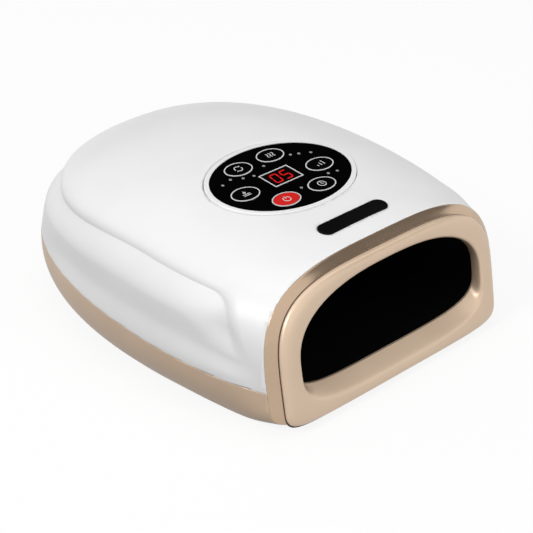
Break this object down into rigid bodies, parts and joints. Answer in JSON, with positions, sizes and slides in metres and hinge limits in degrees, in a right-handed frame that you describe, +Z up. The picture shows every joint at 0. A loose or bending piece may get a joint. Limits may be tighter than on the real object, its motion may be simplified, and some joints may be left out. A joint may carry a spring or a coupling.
{
  "type": "hand massager",
  "caption": "Egg-shaped hand massager with an oval mouth, a padded air-pressure chamber, a heated palm pad and a round touch panel with keys and a digit display.",
  "frame": {"origin": "centre of the bounding box, at the underside of the feet", "axes": "+Z up, mouth facing -Y, +X to the right when looking into the mouth along +Y"},
  "size_m": [0.197, 0.2406, 0.09],
  "materials": {
    "white_shell": "glossy white",
    "champagne_shell": "satin champagne lacquer",
    "rose_plating": "bright rose-gold plating",
    "bezel_champagne": "satin champagne lacquer",
    "dark_gasket": "matte",
    "foot_rubber": "matte",
    "panel_black": "gloss black",
    "ring_white": "glossy white",
    "silver_trim": "bright silver",
    "key_black": "gloss black",
    "key_red": "gloss red",
    "display_mask": "gloss black",
    "digit_light": "lit red diffuser",
    "light_pipe": "translucent white",
    "plate_black": "gloss black",
    "board_green": "solder mask",
    "component_black": "moulded",
    "silicone": "matte translucent",
    "inner_plastic": "moulded",
    "black_cloth": "knitted lining",
    "bladder_film": "soft film",
    "pad_foam": "foam",
    "heater_film": "polyimide film",
    "motor_steel": "plated",
    "shaft_steel": "ground",
    "copper_core": "wound copper",
    "hose_clear": "translucent",
    "cell_wrap": "shrink sleeve",
    "screw_steel": "zinc plated",
    "ribbon": "flat cable",
    "socket_steel": "nickel plated"
  },
  "bodies": {
    "case": {"bag_hoses": "hose_clear", "battery_cells": "cell_wrap", "battery_tray": "inner_plastic", "board_parts": "component_black", "case_screws": "screw_steel", "chamber_floor": "inner_plastic", "chamber_left_wall": "inner_plastic", "chamber_rear_wall": "inner_plastic", "chamber_right_wall": "inner_plastic", "chamber_roof": "inner_plastic", "charge_socket": "socket_steel", "control_board": "board_green", "display_frame": "silver_trim", "display_module": "display_mask", "hand_lining": "black_cloth", "heater_film": "heater_film", "indicator_lights": "light_pipe", "key_mat": "silicone", "key_rims": "silver_trim", "key_switches": "component_black", "left_airbag": "bladder_film", "lit_digits": "digit_light", "lower_airbag": "bladder_film", "lower_shell": "champagne_shell", "lower_valve": "component_black", "lower_valve_spring": "shaft_steel", "main_board": "board_green", "mouth_band": "rose_plating", "mouth_bezel": "bezel_champagne", "name_plate": "plate_black", "palm_pad": "pad_foam", "panel_lens": "panel_black", "panel_ring": "ring_white", "panel_screws": "screw_steel", "pump_cradle": "inner_plastic", "pump_head": "component_black", "pump_hose": "hose_clear", "pump_motor_can": "motor_steel", "ribbon_cable": "ribbon", "right_airbag": "bladder_film", "rubber_feet": "foot_rubber", "seam_gasket": "dark_gasket", "upper_airbag": "bladder_film", "upper_shell": "white_shell", "upper_valve": "component_black", "upper_valve_spring": "shaft_steel", "valve_manifold": "inner_plastic"},
    "press_plate": {"press_plate": "inner_plastic"},
    "pump_rotor": {"pump_shaft": "shaft_steel", "pump_armature": "copper_core", "pump_eccentric": "shaft_steel"},
    "upper_plunger": {"upper_plunger": "shaft_steel"},
    "lower_plunger": {"lower_plunger": "shaft_steel"},
    "power_key": {"power_key": "key_red"},
    "mode_key": {"mode_key": "key_black"},
    "heat_key": {"heat_key": "key_black"},
    "level_key": {"level_key": "key_black"},
    "timer_key": {"timer_key": "key_black"},
    "pressure_key": {"pressure_key": "key_black"}
  },
  "joints": [
    {"name": "power_key_press", "type": "slide", "parent": "case", "child": "power_key", "axis": [0, 0.0896, -0.996], "range_m": [0, 0.0006], "stiffness_N_per_m": 700},
    {"name": "mode_key_press", "type": "slide", "parent": "case", "child": "mode_key", "axis": [0, 0.0896, -0.996], "range_m": [0, 0.0006], "stiffness_N_per_m": 700},
    {"name": "heat_key_press", "type": "slide", "parent": "case", "child": "heat_key", "axis": [0, 0.0896, -0.996], "range_m": [0, 0.0006], "stiffness_N_per_m": 700},
    {"name": "level_key_press", "type": "slide", "parent": "case", "child": "level_key", "axis": [0, 0.0896, -0.996], "range_m": [0, 0.0006], "stiffness_N_per_m": 700},
    {"name": "timer_key_press", "type": "slide", "parent": "case", "child": "timer_key", "axis": [0, 0.0896, -0.996], "range_m": [0, 0.0006], "stiffness_N_per_m": 700},
    {"name": "pressure_key_press", "type": "slide", "parent": "case", "child": "pressure_key", "axis": [0, 0.0896, -0.996], "range_m": [0, 0.0006], "stiffness_N_per_m": 700},
    {"name": "plate_press", "type": "slide", "parent": "case", "child": "press_plate", "axis": [0, 0, -1], "range_m": [0, 0.006], "stiffness_N_per_m": 400, "deforming": ["upper_airbag"]},
    {"name": "pump_spin", "type": "hinge", "parent": "case", "child": "pump_rotor", "pos_m": [-0.046, 0.0525, 0.021], "axis": [1, 0, 0], "continuous": true},
    {"name": "upper_valve_open", "type": "slide", "parent": "case", "child": "upper_plunger", "axis": [0, 0, -1], "range_m": [0, 0.0015], "stiffness_N_per_m": 150, "deforming": ["upper_valve_spring"]},
    {"name": "lower_valve_open", "type": "slide", "parent": "case", "child": "lower_plunger", "axis": [0, 0, -1], "range_m": [0, 0.0015], "stiffness_N_per_m": 150, "deforming": ["lower_valve_spring"]}
  ]
}
